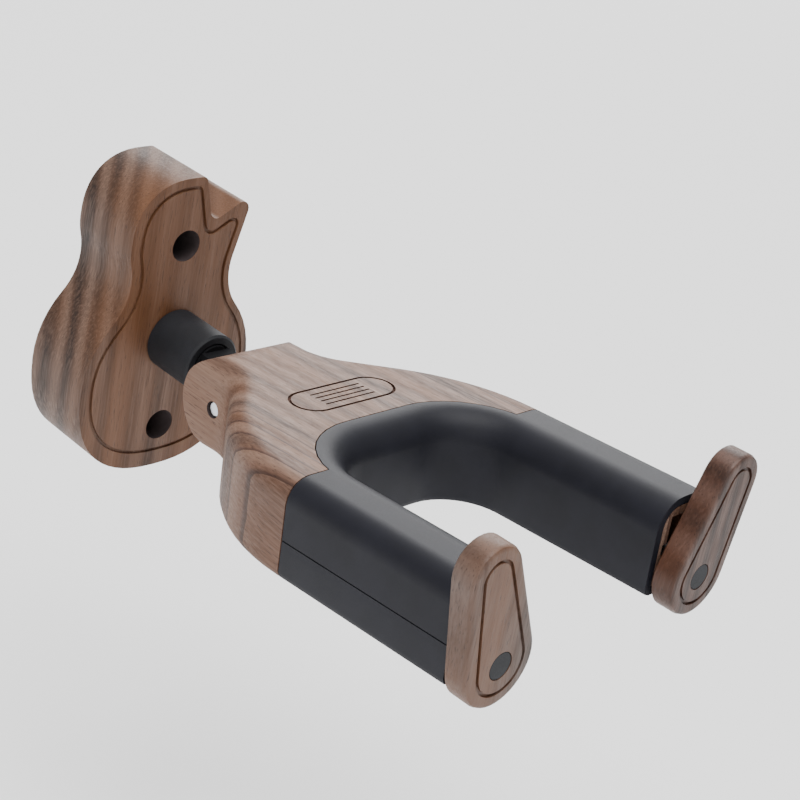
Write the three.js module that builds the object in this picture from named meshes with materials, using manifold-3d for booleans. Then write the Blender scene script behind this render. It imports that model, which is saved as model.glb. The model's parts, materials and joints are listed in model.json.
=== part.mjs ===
// Wall guitar hanger: guitar-shaped wooden wall base, swivelling post, tilting wooden fork
// in a rubber sleeve, and two gates that swing across the neck slot when the fork tips down.
// Millimetres, +Z up, X to the right seen from the room, the wall is the plane Y = 0 and the
// hanger reaches towards -Y. "Forward" below means away from the wall.
import * as THREE from 'three';
import { mergeVertices } from 'three/addons/utils/BufferGeometryUtils.js';
import Module from 'manifold-3d';

const wasm = await Module();
wasm.setup();

// ---- wall base ----
const BASE_DEPTH = 24;          // thickness of the wooden wall base
const AXIS_Z = 17;              // swivel axis above the origin of the wall face
const HOLE_OFFSET = 28;         // wall screw holes above and below the swivel axis
const SCREW_HEAD_R = 4.6;       // counterbore for a wall screw's head
const SCREW_HEAD_DEPTH = 11;
const SCREW_SHANK_R = 3.2;      // clearance for the wall screw's shank
const GROOVE_W = 1.0;           // decorative groove on the base's front
const GROOVE_DEPTH = 0.7;
const STUD_R = 4;               // swivel stud
const STUD_GAP = 0.35;
const RECESS_R = 11;            // nut recess in the back of the base
const RECESS_DEPTH = 10;
const PAD_R = 7.6;              // friction washer under the post
const PAD_DEPTH = 1.6;
const PAD_FLOOR_GAP = 0.2;      // clearance under the friction washer
const PAD_TOP_GAP = 0.1;
const WASHER_R = 9.6;           // washer and nut behind the base
const WASHER_T = 1.6;
const NUT_H = 6;
const NUT_R = 7.4;
const STUD_BACK = 0.8;          // stud's rear end, in front of the wall
const STUD_INSET = 5;           // stud's front end, behind the post's front face

// ---- outline of the base, about the swivel axis ----
const BOUT_R = 29;              // lower bout
const BOUT_Z = -12.3;
const BOUT_POWER = 2.4;         // 2 would make its lower half a plain half circle
const WAIST_HALF = 17;          // half-width at the waist
const WAIST_R = 17.8;
const WAIST_Z = 19;
const TOP_Z = 29.4;             // centre of the upper bout
const TOP_POWER = 2.4;          // squareness of the upper bout's shoulder
const FLANK_DEG = 13;           // how far the right flank follows the waist's arc
const FLANK = 19;               // straight flank from there to the horn's corner
const HORN_R = 2.5;
const SCOOP_X = 7.9;            // corner at the bottom of the cutaway
const SCOOP_Z = 33.9;
const SCOOP_R = 2.5;
const CREST_X = 3.9;            // corner between the cutaway and the upper bout
const CREST_R = 1.8;
const GROOVE_INSET = 2.9;
const GROOVE_SHIFT = 0.5;       // groove, to the right of the outline's middle
const GROOVE_CORNER_R = 1.8;    // below the horn and the crest
const GROOVE_SCOOP_R = 3;
const GROOVE_LIFT = 0.91;       // depth of its lower half, as a share of the plain inset's

// ---- post and tongue ----
const POST_R = 8.9;
const POST_LENGTH = 18;
const SHANK_R = 6.1;            // shank inside the post cover
const STUD_SEAT = 4;            // floor of the stud's bore, behind the shank's front end
const SHANK_STEP = 0.6;         // shank's front end, in front of the post cover
const POST_EDGE = 0.6;          // chamfer round the post's front face
const POST_FRONT = BASE_DEPTH + POST_LENGTH;
const PIN_FORWARD = POST_FRONT + 20.5;   // tilt pin's distance from the wall
const TONGUE_W = 9.6;
const TONGUE_TOP = 4.7;
const TONGUE_BOTTOM = -5.2;
const TONGUE_END = 24;          // front end of the tongue, forward of the tilt pin
const PIN_R = 2.0;
const PIN_BORE_GAP = 0.25;
const PIN_INSET = 0.7;          // pin ends below the barrel's flat ends
const PIN_WASHER_R = 4;

// ---- fork ----
const TILT = 5.25;              // degrees the unloaded fork points up
const FORK_TOP = 13.2;          // fork's top face above the tilt pin
const FORK_BOTTOM = -11.8;
const BARREL_W = 32;            // width of the round rear end
const ARM_OUTER = 44.8;         // half-width over the arms
const ARM_INNER = 25;           // half the clear gap between the arms
const ARM_END = 113.8;          // open ends of the arms, forward of the tilt pin
const THROAT = 51.3;            // rear wall of the neck slot
const THROAT_R = 14.5;          // its corner radius
const FLARE_R = 14;             // concave fillet beside the barrel
const SHOULDER_R = 57;          // convex shoulder
const FLARE_DEG = 43;
const FLARE_START = 1;
const SHOULDER_END = 60;
const TOP_ROUND = 6;            // soft outer top edge
const LIP_ROUND = 8;            // soft inner lip of the neck slot
const LOW_ROUND = 2;            // small rounding of the lower edges
const SLOT_W = 12;              // slot in the barrel for the tongue
const SLOT_TOP = 6.2;
const SLOT_BOTTOM = -7;
const SLOT_FRONT = 11.5;

// ---- rubber sleeve ----
const SLEEVE_START = 61;
const SEAM = 0.3;               // gap between sleeve and wood
const LIP_W = 8.2;              // sleeve's width on the fork's top around the throat
const LIP_FLOOR = 4.9;          // underside of that lip
const WALL_W = 2.6;             // sleeve wall in the throat
const UNDER_LIP_W = 5;          // sleeve's width on the underside around the throat
const UNDER_LIP_TOP = -8.6;
const ZONE_LAP = 0.02;          // lap that joins the sleeve's zones into one solid
const CORE_INNER = 27.5;        // wooden core of an arm
const CORE_OUTER = 42.2;
const CORE_TOP = 10.8;
const CORE_BOTTOM = -9.8;
const CORE_REAR = 40;
const CORE_TOP_ROUND = 3.4;
const CORE_LOW_ROUND = 1;

// ---- mechanism ----
const ROD_X = 35.8;             // gate rods and gate pivots
const ROD_R = 2.0;
const ROD_BORE_GAP = 0.2;       // around a rod in the spreader
const ROD_RISE = 3;             // degrees the fixed rods rise towards the gates
const ROD_DROP = -0.956;        // rod axis below the tilt pin, square to the rod
const ROD_START = 46.5;
const ROD_END = 117.2;
const CHANNEL_W = 5.2;
const CAVITY_TOP = 5.3;
const COVER_T = 2;
const SPRING_FORWARD = 19;

// ---- gates ----
const GATE_BACK = 114.9;
const GATE_FRONT = 121.3;
const GATE_R1 = 10.5;           // radius of the round pivot end
const GATE_R2 = 7.5;            // radius of the free end
const GATE_LENGTH = 24.4;       // between the two centres
const GATE_LEAN = 16.7;         // degrees each open gate leans outwards
const GATE_BEVEL = 1.2;
const GATE_BACK_EDGE = 0.4;
const GATE_CROWN = 0.35;        // rounds the bevel over
const GATE_GROOVE_OUT = 3.0;    // groove's edges, in from the gate's outline
const GATE_GROOVE_IN = 3.9;
const BORE_END = 2;             // rod's bore ends this far behind the gate's front
const PLUG_R = 3.3;
const PLUG_GAP = 0.15;
const PLUG_T = 1.7;
const PLUG_SINK = 0.05;
const PLUG_FLOOR = 2.7;         // floor of the plug's recess, in front of the gate's back
const DRIVE_R = 6.17;           // drive pin's distance from the gate pivot
const DRIVE_DEG = 53.35;        // half of the gate's swing
const DRIVE_PIN_R = 1;
const DRIVE_DEPTH = 2.9;        // drive pin's hole in the gate's back
const DRIVE_PIN_BACK = 104.8;
const GATE_COIL_R = 2.7;        // light spring around the rod, behind the gate
const GATE_COIL_WIRE = 0.35;
const GATE_COIL_PITCH = 0.85;
const GATE_COIL_TURNS = 3.2;
const GATE_COIL_BACK = 111.5;

// ---- return spring ----
const SPRING_R = 2.5;
const SPRING_WIRE = 0.4;
const SPRING_TURNS = 5;
const SPRING_FOOT = 1.2;
const SPRING_HEAD = 9.4;
const SEAT_R = 3.3;             // spring's seat in the tongue
const SEAT_FLOOR = 0.8;
const POCKET_R = 3.7;           // spring's pocket in the fork
const POCKET_SHIFT = 0.6;

// ---- small screws ----
const HUB_SCREW_X = 2.6;        // the two screws that hold the spreader on the tongue
const HUB_SCREW_Z = 1.4;
const HUB_BORE_R = 1.1;
const HUB_SHANK_R = 0.85;
const HUB_HEAD_R = 1.8;
const HUB_RECESS_R = 2.1;
const HUB_RECESS_DEPTH = 2.4;
const HUB_THREAD = 4;           // depth of their holes in the tongue
const COVER_BORE_R = 1.2;
const COVER_SHANK_R = 0.9;
const COVER_HEAD_R = 2;
const COVER_RECESS_R = 2.3;
const COVER_RECESS_DEPTH = 1.2;
const COVER_BORE_TOP = -4.5;
const COVER_SHANK_TOP = -4.8;
const GATE_SCREW_R = 0.95;
const GATE_SCREW_BORE = 1.25;
const GATE_SCREW_DEPTH = 9;
const GATE_HEAD_R = 2.9;
const GATE_HEAD_T = 1.4;
const TIP_GAP = 0.5;            // clearance in front of a screw's tip
const COVER_HEAD_LOW = 0.1;     // cover screw heads sit just inside the cover's face
const COVER_HEAD_HIGH = 0.95;

// ---- general ----
const GAP = 0.3;                // running gap between touching pieces
const OVER = 1;                 // how far a cutter runs past the face it opens
const WIDE = 60;                // beyond both sides of the fork
const FAR = 140;                // beyond its front end
const REACH = 30;               // beyond its top, bottom and rear
const RAD = Math.PI / 180;
const PIN_Y = -PIN_FORWARD;

// ---------------------------------------------------------------- solids

function toSolid(geometry) {
  const g = geometry.clone();
  g.deleteAttribute('normal');
  g.deleteAttribute('uv');
  const merged = mergeVertices(g, 1e-4);
  const vertProperties = Float32Array.from(merged.attributes.position.array);
  const triVerts = Uint32Array.from(merged.index.array);
  return new wasm.Manifold(new wasm.Mesh({ numProp: 3, vertProperties, triVerts }));
}

function toGeometry(solid) {
  const mesh = solid.getMesh();
  const g = new THREE.BufferGeometry();
  g.setAttribute('position', new THREE.BufferAttribute(Float32Array.from(mesh.vertProperties), 3));
  g.setIndex(new THREE.BufferAttribute(Uint32Array.from(mesh.triVerts), 1));
  g.computeVertexNormals();
  return g;
}

function cut(solid, ...cutters) {
  return cutters.reduce((s, c) => s.subtract(c), solid);
}

function join(solid, ...others) {
  return others.reduce((s, o) => s.add(o), solid);
}

function box(x0, x1, y0, y1, z0, z1) {
  const g = new THREE.BoxGeometry(x1 - x0, y1 - y0, z1 - z0);
  g.translate((x0 + x1) / 2, (y0 + y1) / 2, (z0 + z1) / 2);
  return g;
}

// round bar along X, Y or Z; u and v are its centre on the other two axes
function bar(axis, r, from, to, u, v, sides = 28) {
  const g = new THREE.CylinderGeometry(r, r, Math.abs(to - from), sides);
  const mid = (from + to) / 2;
  if (axis === 'x') {
    g.rotateZ(Math.PI / 2);
    g.translate(mid, u, v);
  }
  if (axis === 'y') {
    g.translate(u, mid, v);
  }
  if (axis === 'z') {
    g.rotateX(Math.PI / 2);
    g.translate(u, v, mid);
  }
  return g;
}

// round bar with a hole through it; from is less than to
function ring(axis, rOut, rIn, from, to, u, v, sides = 28) {
  const outer = toSolid(bar(axis, rOut, from, to, u, v, sides));
  const hole = toSolid(bar(axis, rIn, from - OVER, to + OVER, u, v, sides));
  return toGeometry(cut(outer, hole));
}

// stack of matching loops [x, y], one per height; loops run counter-clockwise
function loft(loops, heights) {
  const n = loops[0].length;
  const pos = [];
  const idx = [];
  loops.forEach((loop, k) => loop.forEach(([x, y]) => pos.push(x, y, heights[k])));
  for (let k = 0; k + 1 < loops.length; k++) {
    for (let i = 0; i < n; i++) {
      const a = k * n + i;
      const b = k * n + ((i + 1) % n);
      idx.push(a, b, b + n);
      idx.push(a, b + n, a + n);
    }
  }
  const last = (loops.length - 1) * n;
  const flat = (loop) => loop.map(([x, y]) => new THREE.Vector2(x, y));
  for (const [a, b, c] of THREE.ShapeUtils.triangulateShape(flat(loops[0]), [])) {
    idx.push(a, c, b);
  }
  for (const [a, b, c] of THREE.ShapeUtils.triangulateShape(flat(loops.at(-1)), [])) {
    idx.push(last + a, last + b, last + c);
  }
  const g = new THREE.BufferGeometry();
  g.setAttribute('position', new THREE.Float32BufferAttribute(pos, 3));
  g.setIndex(idx);
  return g;
}

// loop moved inwards by d (outwards when d is negative), corners mitred
function inset(loop, d) {
  const n = loop.length;
  return loop.map(([x, y], i) => {
    const [px, py] = loop[(i + n - 1) % n];
    const [qx, qy] = loop[(i + 1) % n];
    const a = Math.hypot(x - px, y - py);
    const b = Math.hypot(qx - x, qy - y);
    const n1 = [-(y - py) / a, (x - px) / a];
    const n2 = [-(qy - y) / b, (qx - x) / b];
    const s = 1 + n1[0] * n2[0] + n1[1] * n2[1];
    return [x + (d * (n1[0] + n2[0])) / s, y + (d * (n1[1] + n2[1])) / s];
  });
}

function prism(loop, z0, z1) {
  return loft([loop, loop], [z0, z1]);
}

function arc(cx, cy, r, from, to, steps) {
  const out = [];
  for (let i = 0; i <= steps; i++) {
    const a = (from + ((to - from) * i) / steps) * RAD;
    out.push([cx + r * Math.cos(a), cy + r * Math.sin(a)]);
  }
  return out;
}

// half outline given for x > 0 from rear to front as [x, forward]; returns a loop [x, y]
function mirrored(half) {
  const right = half.map(([x, f]) => [x, -f]);
  const left = half.filter(([x]) => x !== 0).map(([x, f]) => [-x, -f]).reverse();
  return right.concat(left).reverse();
}

// helical spring of round wire about +Z, starting at z0
class Helix extends THREE.Curve {
  constructor(r, pitch, turns, z0) {
    super();
    Object.assign(this, { r, pitch, turns, z0 });
  }

  getPoint(t, target = new THREE.Vector3()) {
    const a = t * this.turns * 2 * Math.PI;
    const z = this.z0 + this.pitch * this.turns * t;
    return target.set(this.r * Math.cos(a), this.r * Math.sin(a), z);
  }
}

function coil(r, wire, pitch, turns, z0) {
  const shape = new THREE.Shape();
  shape.absarc(0, 0, wire, 0, 2 * Math.PI);
  const path = new Helix(r, pitch, turns, z0);
  const steps = Math.round(turns * 14);
  return new THREE.ExtrudeGeometry(shape, { steps, curveSegments: 3, extrudePath: path });
}

// ---------------------------------------------------------------- placing

// wall plane drawings: [x, up] drawn flat and swept forward from the wall
function onWall(geometry) {
  return geometry.rotateX(Math.PI / 2).translate(0, 0, AXIS_Z);
}

// pieces fixed to the tongue: drawn about the tilt pin, level
function atPin(geometry) {
  return geometry.translate(0, PIN_Y, AXIS_Z);
}

// pieces of the fork: drawn about the tilt pin, then tipped up
function onFork(geometry) {
  return atPin(geometry.rotateX(-TILT * RAD));
}

// gates and rods: drawn about the tilt pin, then raised by the rods' rise
function onRods(geometry) {
  return atPin(geometry.rotateX(-ROD_RISE * RAD));
}

// ---------------------------------------------------------------- wall base

// where the waist's arc meets the top and the lower bout, in degrees about the waist's centre
const WAIST_X = WAIST_HALF + WAIST_R;
const WAIST_UP = Math.atan2(TOP_Z - WAIST_Z, WAIST_X) / RAD;
const WAIST_DOWN = Math.atan2(WAIST_Z - BOUT_Z, WAIST_X) / RAD;
const TOP_R = Math.hypot(WAIST_X, TOP_Z - WAIST_Z) - WAIST_R;

// the flank's arc end, the cutaway's three corners before they are rounded, and a point far
// enough along the top's tangent that an inset leaves it on the same side of the last corner
const FLANK_END = arc(WAIST_X, WAIST_Z, WAIST_R, 180 - FLANK_DEG, 180 - FLANK_DEG, 1)[0];
const HORN = [
  FLANK_END[0] + FLANK * Math.sin(FLANK_DEG * RAD),
  FLANK_END[1] + FLANK * Math.cos(FLANK_DEG * RAD),
];
const TOP = TOP_Z + TOP_R;
const CUTAWAY = [FLANK_END, HORN, [SCOOP_X, SCOOP_Z], [CREST_X, TOP], [-TOP_R, TOP]];

// stretch of a circle of radius r about (0, cz), made squarer by a power over 2
function squared(cz, r, power, from, to, steps) {
  return arc(0, 0, 1, from, to, steps).map(([c, t]) => {
    const x = Math.sign(c) * Math.abs(c) ** (2 / power);
    const z = Math.sign(t) * Math.abs(t) ** (2 / power);
    return [r * x, cz + r * z];
  });
}

// arc of radius r that touches both sides of a corner
function rounded(before, corner, after, r, steps) {
  const toBefore = Math.atan2(before[1] - corner[1], before[0] - corner[0]) / RAD;
  const toAfter = Math.atan2(after[1] - corner[1], after[0] - corner[0]) / RAD;
  const turn = ((toAfter - toBefore + 540) % 360) - 180;
  const side = Math.sign(turn);
  const middle = (toBefore + turn / 2) * RAD;
  const reach = r / Math.sin((Math.abs(turn) / 2) * RAD);
  const cx = corner[0] + reach * Math.cos(middle);
  const cy = corner[1] + reach * Math.sin(middle);
  const from = toBefore - side * 90;
  return arc(cx, cy, r, from, from - side * (180 - Math.abs(turn)), steps);
}

// guitar body about the swivel axis, [x, up], moved inwards by d; radii round the cutaway's corners
function bodyLoop(d, radii) {
  const [flank, horn, scoop, crest, top] = inset(CUTAWAY, d);
  const stretches = [
    squared(TOP_Z, TOP_R - d, TOP_POWER, 90, 180, 14),
    arc(0, TOP_Z, TOP_R - d, 180, 180 + WAIST_UP, 4),
    arc(-WAIST_X, WAIST_Z, WAIST_R + d, WAIST_UP, -WAIST_DOWN, 10),
    arc(0, BOUT_Z, BOUT_R - d, 180 - WAIST_DOWN, 180, 6),
    squared(BOUT_Z, BOUT_R - d, BOUT_POWER, 180, 360, 30),
    arc(0, BOUT_Z, BOUT_R - d, 0, WAIST_DOWN, 6),
    arc(WAIST_X, WAIST_Z, WAIST_R + d, 180 + WAIST_DOWN, 180 - FLANK_DEG, 10),
  ];
  const joined = stretches.flatMap((points, i) => (i ? points.slice(1) : points));
  return joined.concat(
    rounded(flank, horn, scoop, radii[0], 6),
    rounded(horn, scoop, crest, radii[1], 6),
    rounded(scoop, crest, top, radii[2], 5),
  );
}

function wallBase() {
  let s = toSolid(prism(bodyLoop(0, [HORN_R, SCOOP_R, CREST_R]), 0, BASE_DEPTH));
  const middle = bodyLoop(GROOVE_INSET, [GROOVE_CORNER_R, GROOVE_SCOOP_R, GROOVE_CORNER_R]);
  const groove = middle.map(([x, y]) => [
    x + GROOVE_SHIFT,
    y < BOUT_Z ? BOUT_Z + GROOVE_LIFT * (y - BOUT_Z) : y,
  ]);
  const past = BASE_DEPTH + OVER;
  const outer = toSolid(prism(inset(groove, -GROOVE_W / 2), BASE_DEPTH - GROOVE_DEPTH, past));
  const inner = toSolid(prism(inset(groove, GROOVE_W / 2), BASE_DEPTH - 2 * OVER, past + OVER));
  s = cut(s, cut(outer, inner));
  for (const y of [HOLE_OFFSET, -HOLE_OFFSET]) {
    const head = bar('z', SCREW_HEAD_R, BASE_DEPTH - SCREW_HEAD_DEPTH, BASE_DEPTH + OVER, 0, y, 36);
    const shank = bar('z', SCREW_SHANK_R, -OVER, BASE_DEPTH + OVER, 0, y, 36);
    s = cut(s, toSolid(head), toSolid(shank));
  }
  const bore = toSolid(bar('z', STUD_R + STUD_GAP, -OVER, BASE_DEPTH + OVER, 0, 0));
  const recess = toSolid(bar('z', RECESS_R, -OVER, RECESS_DEPTH, 0, 0, 36));
  const pad = toSolid(bar('z', PAD_R + GAP, BASE_DEPTH - PAD_DEPTH, BASE_DEPTH + OVER, 0, 0));
  return onWall(toGeometry(cut(s, bore, recess, pad)));
}

function frictionWasher() {
  const top = BASE_DEPTH - PAD_TOP_GAP;
  const floor = BASE_DEPTH - PAD_DEPTH + PAD_FLOOR_GAP;
  return onWall(ring('z', PAD_R, STUD_R + STUD_GAP, floor, top, 0, 0));
}

// ---------------------------------------------------------------- swivel

function rearWasher() {
  const top = RECESS_DEPTH - GAP;
  return onWall(ring('z', WASHER_R, STUD_R + STUD_GAP, top - WASHER_T, top, 0, 0));
}

function studNut() {
  const top = RECESS_DEPTH - WASHER_T - 2 * GAP;
  const body = toSolid(bar('z', NUT_R, top - NUT_H, top, 0, 0, 6));
  const hole = toSolid(bar('z', STUD_R + STUD_GAP, top - NUT_H - OVER, top + OVER, 0, 0));
  return onWall(toGeometry(cut(body, hole)));
}

function swivelStud() {
  return onWall(bar('z', STUD_R, STUD_BACK, POST_FRONT - STUD_INSET, 0, 0));
}

function postCover() {
  const r = POST_R;
  const back = BASE_DEPTH + GAP;
  const edge = POST_EDGE;
  const inner = SHANK_R + GAP;
  const profile = [
    [inner, back], [r, back], [r, POST_FRONT - edge], [r - edge, POST_FRONT],
    [inner, POST_FRONT], [inner, back],
  ];
  const g = new THREE.LatheGeometry(profile.map(([x, y]) => new THREE.Vector2(x, y)), 48);
  return onWall(g.rotateX(Math.PI / 2));
}

function tiltTongue() {
  const w = TONGUE_W / 2;
  const rear = POST_FRONT - PIN_FORWARD;
  const shank = bar('y', SHANK_R, -rear + POST_LENGTH - GAP, -rear - SHANK_STEP, 0, 0, 36);
  let s = toSolid(shank);
  s = join(s, toSolid(box(-w, w, -TONGUE_END, -rear - GAP, TONGUE_BOTTOM, TONGUE_TOP)));
  const stud = toSolid(bar('y', STUD_R + GAP, -rear + STUD_SEAT, -rear + POST_LENGTH + OVER, 0, 0));
  const pin = toSolid(bar('x', PIN_R + PIN_BORE_GAP, -w - OVER, w + OVER, 0, 0));
  const seat = toSolid(bar('z', SEAT_R, SEAT_FLOOR, TONGUE_TOP + OVER, 0, -SPRING_FORWARD));
  s = cut(s, stud, pin, seat);
  for (const x of [-HUB_SCREW_X, HUB_SCREW_X]) {
    const hole = bar('y', HUB_BORE_R, -TONGUE_END - OVER, -TONGUE_END + HUB_THREAD, x, HUB_SCREW_Z, 16);
    s = cut(s, toSolid(hole));
  }
  return atPin(toGeometry(s));
}

const HUB_BACK = TONGUE_END + GAP;
const HUB_FRONT = 32.8;
const SPREADER_HALF = [
  [0, HUB_BACK], [5.2, HUB_BACK], [8, 25.2], [33.4, 42.2], [38.5, 45.8], [38.5, 50.6],
  [33.1, 50.6], [32.4, 47.8], [8, 32.8], [0, HUB_FRONT],
];
const SPREADER_BOTTOM = -1.7;

function spreader() {
  let s = toSolid(prism(mirrored(SPREADER_HALF), SPREADER_BOTTOM, TONGUE_TOP));
  const rods = [-1, 1].map((side) => {
    const g = bar('y', ROD_R + ROD_BORE_GAP, -(ROD_START - GAP), -WIDE, side * ROD_X, ROD_DROP, 20);
    return toSolid(g.rotateX(-ROD_RISE * RAD));
  });
  s = cut(s, ...rods);
  for (const x of [-HUB_SCREW_X, HUB_SCREW_X]) {
    const from = -HUB_BACK + OVER;
    const hole = bar('y', HUB_BORE_R, from, -HUB_FRONT - OVER, x, HUB_SCREW_Z, 16);
    const sink = -HUB_FRONT + HUB_RECESS_DEPTH;
    const head = bar('y', HUB_RECESS_R, sink, -HUB_FRONT - OVER, x, HUB_SCREW_Z, 16);
    s = cut(s, toSolid(hole), toSolid(head));
  }
  return atPin(toGeometry(s));
}

function spreaderScrew(side) {
  const x = side * HUB_SCREW_X;
  const z = HUB_SCREW_Z;
  const tip = -TONGUE_END + HUB_THREAD - TIP_GAP;
  const under = -HUB_FRONT + HUB_RECESS_DEPTH - GAP;
  const shank = toSolid(bar('y', HUB_SHANK_R, tip, -HUB_FRONT + OVER, x, z, 12));
  const head = toSolid(bar('y', HUB_HEAD_R, under, -HUB_FRONT + GAP, x, z, 16));
  return atPin(toGeometry(join(shank, head)));
}

function gateRod(side) {
  const x = side * ROD_X;
  const rod = toSolid(bar('y', ROD_R, -ROD_START, -ROD_END, x, ROD_DROP, 24));
  const floor = -ROD_END + GATE_SCREW_DEPTH;
  const hole = toSolid(bar('y', GATE_SCREW_BORE, floor, -ROD_END - OVER, x, ROD_DROP, 16));
  return onRods(toGeometry(cut(rod, hole)));
}

function returnSpring() {
  const wire = SPRING_WIRE;
  const pitch = (SPRING_HEAD - SPRING_FOOT - 2 * wire) / SPRING_TURNS;
  const g = coil(SPRING_R, wire, pitch, SPRING_TURNS, SPRING_FOOT + wire);
  return atPin(g.translate(0, -SPRING_FORWARD, 0));
}

// ---------------------------------------------------------------- fork

function forkOutline() {
  const a = FLARE_DEG;
  const w = BARREL_W / 2;
  const end = arc(w + FLARE_R, FLARE_START, FLARE_R, 180, 180 - a, 6);
  const shoulder = arc(ARM_OUTER - SHOULDER_R, SHOULDER_END, SHOULDER_R, -a, 0, 9);
  const half = [[w, -REACH], ...end, ...shoulder, [ARM_OUTER, FAR]];
  return mirrored(half);
}

// plan of the neck slot, grown by d
function throat(d, steps = 9) {
  const r = THROAT_R + d;
  const cx = ARM_INNER - THROAT_R;
  const corner = arc(cx, THROAT + THROAT_R, r, -90, 0, steps);
  return mirrored([...corner, [ARM_INNER + d, FAR]]);
}

function roundLevels(r, steps) {
  const out = [];
  for (let i = 0; i <= steps; i++) {
    const a = (i / steps) * 90 * RAD;
    out.push([r - r * Math.cos(a), r * Math.sin(a)]);
  }
  return out;
}

function slotCutter() {
  const top = roundLevels(LIP_ROUND, 6).map(([d, h]) => [d, FORK_TOP - LIP_ROUND + h]);
  const low = roundLevels(LOW_ROUND, 2).map(([d, h]) => [d, FORK_BOTTOM + LOW_ROUND - h]).reverse();
  const levels = [[LOW_ROUND, FORK_BOTTOM - OVER], ...low, ...top, [LIP_ROUND, FORK_TOP + OVER]];
  return toSolid(loft(levels.map(([d]) => throat(d)), levels.map(([, z]) => z)));
}

// side profile: half-round rear end on a level slab, drawn [forward, up]
function sideProfile() {
  const r = (FORK_TOP - FORK_BOTTOM) / 2;
  const mid = (FORK_TOP + FORK_BOTTOM) / 2;
  const rear = arc(0, mid, r, 90, 270, 18);
  const loop = [...rear, [ARM_END, FORK_BOTTOM], [ARM_END, FORK_TOP]];
  const g = prism(loop, -WIDE, WIDE);
  return toSolid(g.rotateX(Math.PI / 2).rotateZ(-Math.PI / 2));
}

function forkBlock() {
  const outline = forkOutline();
  const low = roundLevels(LOW_ROUND, 2).map(([d, h]) => [d, FORK_BOTTOM + LOW_ROUND - h]).reverse();
  const top = roundLevels(TOP_ROUND, 5).map(([d, h]) => [d, FORK_TOP - TOP_ROUND + h]);
  const levels = [...low, ...top];
  const g = loft(levels.map(([d]) => inset(outline, d)), levels.map(([, z]) => z));
  return toSolid(g).intersect(sideProfile()).subtract(slotCutter());
}

// wooden core of one arm, grown by d
function armCore(side, d) {
  const r = LIP_ROUND - (CORE_INNER - ARM_INNER);
  const x0 = CORE_INNER - d;
  const x1 = CORE_OUTER + d;
  const z0 = CORE_BOTTOM - d;
  const z1 = CORE_TOP + d;
  const ro = CORE_TOP_ROUND;
  const rl = CORE_LOW_ROUND;
  const section = [
    ...arc(x0 + rl, z0 + rl, rl, 180, 270, 2),
    ...arc(x1 - rl, z0 + rl, rl, 270, 360, 2),
    ...arc(x1 - ro, z1 - ro, ro, 0, 90, 5),
    ...arc(x0 + r, z1 - r, r, 90, 180, 6),
  ];
  const loop = side > 0 ? section : section.map(([x, z]) => [-x, z]).reverse();
  return toSolid(prism(loop, CORE_REAR, FAR).rotateX(Math.PI / 2));
}

// everything of the fork block that the sleeve takes, each face set back by d
function sleeveZone(d) {
  const start = SLEEVE_START + d;
  const coreStart = SLEEVE_START - SEAM / 2 - (d > 0 ? SEAM : 0);
  const ahead = toSolid(box(-WIDE, WIDE, -FAR, -start, -REACH, REACH));
  const behind = toSolid(box(-WIDE, WIDE, -start - ZONE_LAP, 0, -REACH, REACH));
  const lip = toSolid(prism(throat(LIP_W - d), LIP_FLOOR + d, REACH)).intersect(behind);
  const under = toSolid(prism(throat(UNDER_LIP_W - d), -REACH, UNDER_LIP_TOP - d)).intersect(behind);
  const wall = toSolid(prism(throat(WALL_W - d), -REACH, REACH));
  const cores = join(armCore(1, SEAM / 2 + d), armCore(-1, SEAM / 2 + d));
  const kept = cores.intersect(toSolid(box(-WIDE, WIDE, -FAR, -coreStart, -REACH, REACH)));
  return cut(join(ahead, lip, under, wall), kept);
}

const CAVITY_HALF = [
  [0, 11], [6, 11], [6, 23.2], [9, 23.9], [34.2, 40.6], [39, 44.4], [39, 51.4], [32.2, 51.4],
  [31.6, 48.9], [8, 34.4], [5, 36.2], [0, 36.2],
];
const COVER_HALF = [
  [0, 10.2], [8.4, 10.2], [8.8, 17.5], [24, 27.6], [35.5, 36.4], [39.6, 41.6], [40.8, 47.5],
  [40.8, 53.6], [30.8, 53.6], [29.6, 50.2], [20, 44.6], [10, 43.2], [0, 43.2],
];
const COVER_SCREWS = [[0, 39.6], [12.6, 22.7], [-12.6, 22.7], [27.6, 33.4], [-27.6, 33.4]];

// side profile of the passage for a rod, [forward, up]; the arm moves around the fixed rod
const CHANNEL_PROFILE = [[46, -6.4], [111.5, -8.1], [111.5, 7.6], [46, 4.4]];

function rodChannel(side) {
  const half = CHANNEL_W / 2;
  const g = prism(CHANNEL_PROFILE, side * ROD_X - half, side * ROD_X + half);
  return toSolid(g.rotateX(Math.PI / 2).rotateZ(-Math.PI / 2));
}

const MOUTH = { x0: 30, x1: 40.2, z0: -8.9, z1: 8.6, depth: 3 };
const DRIVE_SLOT = { x0: 28.4, x1: 34, z0: -1.9, z1: 1.4, back: 104.2 };

function armPocket(side) {
  const at = (x) => side * x;
  const pair = (a, b) => [Math.min(at(a), at(b)), Math.max(at(a), at(b))];
  const [m0, m1] = pair(MOUTH.x0, MOUTH.x1);
  const mouth = box(m0, m1, -ARM_END - OVER, -ARM_END + MOUTH.depth, MOUTH.z0, MOUTH.z1);
  const [s0, s1] = pair(DRIVE_SLOT.x0, DRIVE_SLOT.x1);
  const slot = box(s0, s1, -ARM_END, -DRIVE_SLOT.back, DRIVE_SLOT.z0, DRIVE_SLOT.z1);
  return join(toSolid(mouth), toSolid(slot), rodChannel(side));
}

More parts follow.
